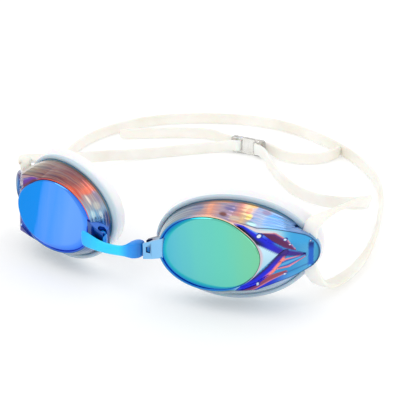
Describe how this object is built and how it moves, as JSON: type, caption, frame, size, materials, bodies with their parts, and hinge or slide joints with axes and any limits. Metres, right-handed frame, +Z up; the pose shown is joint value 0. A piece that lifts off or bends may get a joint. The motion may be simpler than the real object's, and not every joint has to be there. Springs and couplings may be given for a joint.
{
  "type": "swim goggles",
  "caption": "Racing swim goggles with mirrored oval lenses, clear cups with soft gaskets, a snap-in flexible nose bridge and a looped flat silicone head strap with a clip.",
  "frame": {"origin": "on the ground under the middle of the two cups and the bridge", "axes": "+X to the wearer's left, +Z up, the wearer looks along -Y"},
  "size_m": [0.1632, 0.1749, 0.0403],
  "materials": {
    "mirror_lens": "blue and green interference mirror",
    "clear_blue_shell": "polished, tinted clear",
    "frosted_silicone": "frosted",
    "blue_bridge": "satin",
    "strap_silicone": "translucent satin",
    "clear_clip": "polished clear"
  },
  "bodies": {
    "bridge_and_strap": {"nose_bridge": "blue_bridge", "head_strap": "strap_silicone", "strap_clip": "clear_clip"},
    "left_cup": {"left_shell": "clear_blue_shell", "left_lens": "mirror_lens", "left_gasket": "frosted_silicone"},
    "right_cup": {"right_shell": "clear_blue_shell", "right_lens": "mirror_lens", "right_gasket": "frosted_silicone"}
  },
  "joints": [
    {"name": "left_cup_swing", "type": "hinge", "parent": "bridge_and_strap", "child": "left_cup", "pos_m": [0.0099, -0.0151, 0.0203], "axis": [0, 0, 1], "range_deg": [-5, 10], "stiffness_Nm_per_rad": 0.06, "deforming": ["head_strap"]},
    {"name": "right_cup_swing", "type": "hinge", "parent": "bridge_and_strap", "child": "right_cup", "pos_m": [-0.0099, -0.0151, 0.0203], "axis": [0, 0, -1], "range_deg": [-5, 10], "stiffness_Nm_per_rad": 0.06}
  ]
}
